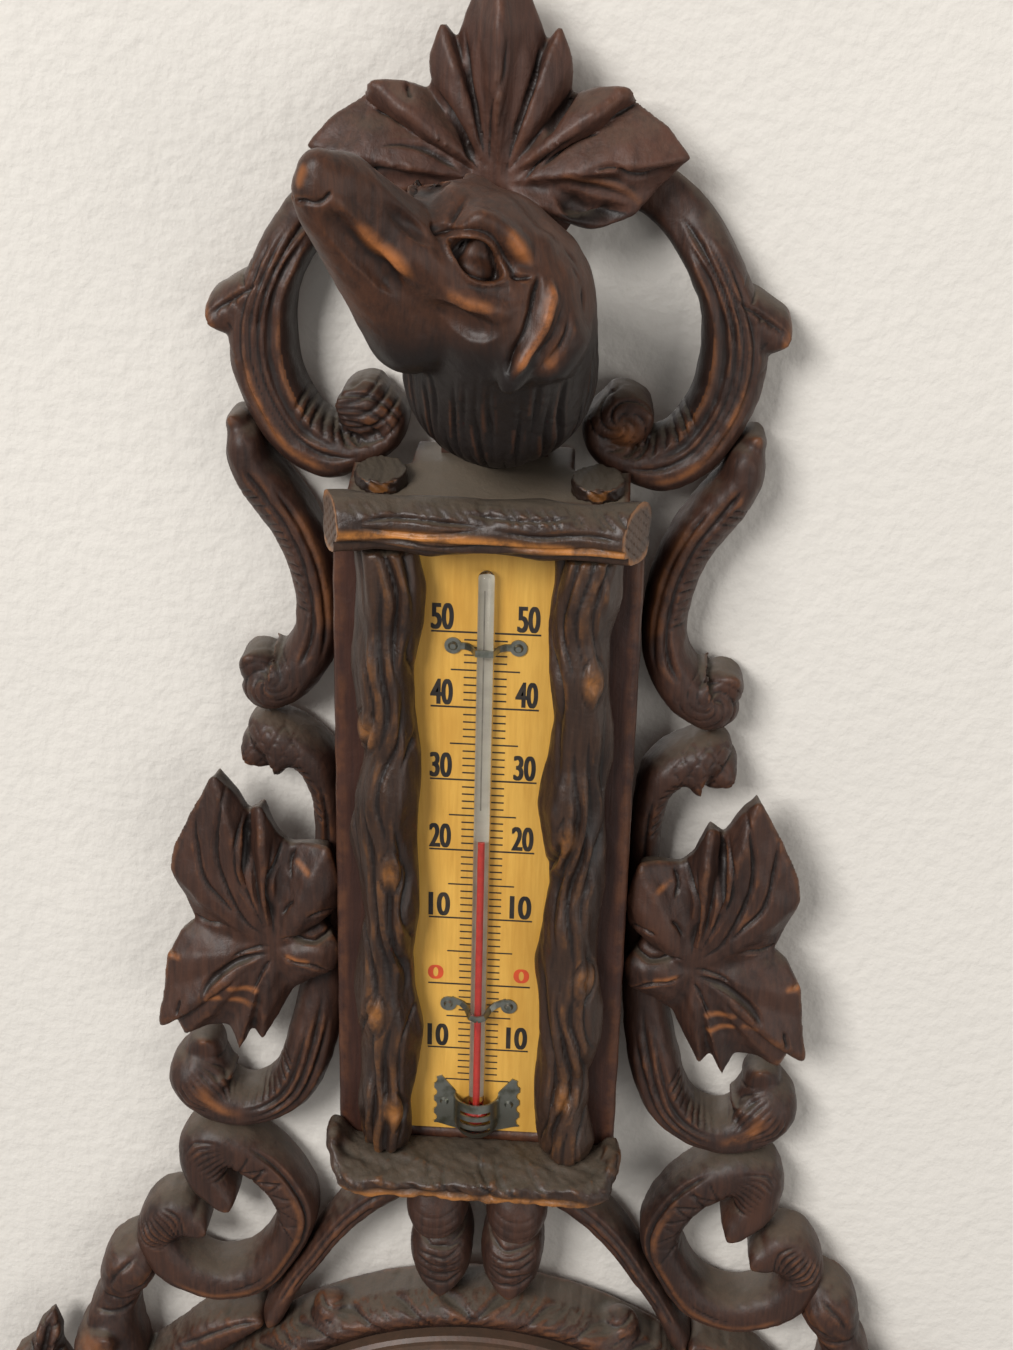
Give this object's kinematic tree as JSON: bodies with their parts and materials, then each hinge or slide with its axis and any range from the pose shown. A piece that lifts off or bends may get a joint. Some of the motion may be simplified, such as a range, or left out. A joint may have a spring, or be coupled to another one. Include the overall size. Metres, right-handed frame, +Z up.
{
  "type": "wall barometer",
  "caption": "Carved wooden wall barometer: leaf crest, hound's head, thermometer in a log-framed case, scroll openwork and a round aneroid dial below.",
  "frame": {"origin": "mouth of the hanging hole in the back of the crest, on the wall plane", "axes": "+X to the right seen from the front, +Y into the wall, +Z up"},
  "size_m": [0.288, 0.0866, 0.6152],
  "materials": {
    "carved_wood": "satin",
    "case_wood": "satin",
    "bezel_wood": "gloss",
    "bark_wood": "satin",
    "head_wood": "satin",
    "scale_wood": "satin",
    "tube_glass": "clear",
    "spirit": "gloss",
    "tin": "dull",
    "dial_glass": "clear",
    "dial_print": "satin",
    "brass": "satin",
    "capsule_metal": "satin",
    "steel": "satin",
    "spring_steel": "satin",
    "blued_steel": "satin"
  },
  "bodies": {
    "frame": {"crest_board": "case_wood", "crest_leaf": "carved_wood", "ring_left": "carved_wood", "ring_right": "carved_wood", "side_scroll_left": "carved_wood", "side_scroll_right": "carved_wood", "long_scroll_left": "carved_wood", "long_scroll_right": "carved_wood", "side_leaf_left": "carved_wood", "side_leaf_right": "carved_wood", "low_ring_left": "carved_wood", "low_ring_right": "carved_wood", "brace_left": "carved_wood", "brace_right": "carved_wood", "post_left": "carved_wood", "post_right": "carved_wood", "hound_head": "head_wood", "case_board": "case_wood", "roof_board": "case_wood", "roof_log": "bark_wood", "roof_stubs": "bark_wood", "side_log_left": "bark_wood", "side_log_right": "bark_wood", "base_shelf": "bark_wood", "scale_plate": "scale_wood", "glass_tube": "tube_glass", "spirit_column": "spirit", "upper_clip": "tin", "lower_clip": "tin", "bulb_guard": "tin", "nails": "tin", "dial_board": "case_wood", "dial_branch_left": "carved_wood", "dial_branch_right": "carved_wood", "dial_leaves": "carved_wood", "foot_leaf": "carved_wood", "bezel": "bezel_wood", "dial_glass": "dial_glass", "glass_ring": "brass", "dial_plate": "dial_print", "drum": "brass", "drum_screws": "brass", "base_plate": "brass", "capsule": "capsule_metal", "spring_foot": "steel", "rocker_stand": "brass", "movement_bridge": "brass", "hairspring": "spring_steel"},
    "pointer_body": {"pointer": "blued_steel", "pointer_arbor": "steel"},
    "set_hand_body": {"set_hand": "brass", "set_knob": "brass"},
    "lever_body": {"main_spring": "spring_steel", "capsule_post": "brass", "lever": "steel"},
    "link_body": {"link_rod": "steel"},
    "rocker_body": {"rocker": "steel"},
    "chain_body": {"chain": "steel"},
    "screw_body": {"adjusting_screw": "steel"}
  },
  "joints": [
    {"name": "pointer_turn", "type": "hinge", "parent": "frame", "child": "pointer_body", "pos_m": [0, -0.03, -0.415], "axis": [0, 1, 0], "range_deg": [-125, 125], "stiffness_Nm_per_rad": 0.002},
    {"name": "rocker_turn", "type": "hinge", "parent": "frame", "child": "rocker_body", "pos_m": [0, -0.01452, -0.377], "axis": [1, 0, 0], "range_deg": [-12.87, 12.87]},
    {"name": "chain_slide", "type": "slide", "parent": "frame", "child": "chain_body", "axis": [0, 0, -1], "range_m": [-0.00234, 0.00234]},
    {"name": "link_slide", "type": "slide", "parent": "frame", "child": "link_body", "axis": [0, 1, 0], "range_m": [-0.0009, 0.0009]},
    {"name": "lever_flex", "type": "hinge", "parent": "frame", "child": "lever_body", "pos_m": [0, -0.0173, -0.457], "axis": [1, 0, 0], "range_deg": [-0.68, 0.68]},
    {"name": "set_hand_turn", "type": "hinge", "parent": "frame", "child": "set_hand_body", "pos_m": [0, -0.036, -0.415], "axis": [0, 1, 0], "continuous": true},
    {"name": "adjusting_turn", "type": "hinge", "parent": "frame", "child": "screw_body", "pos_m": [0, -0.003, -0.457], "axis": [0, 1, 0], "range_deg": [-180, 180]}
  ],
  "couplings": [
    {"joint": "rocker_turn", "follows": "pointer_turn", "ratio": 0.10096},
    {"joint": "chain_slide", "follows": "pointer_turn", "m_per_rad": 0.00105},
    {"joint": "link_slide", "follows": "pointer_turn", "m_per_rad": 0.00040385},
    {"joint": "lever_flex", "follows": "pointer_turn", "ratio": -0.0053138}
  ]
}
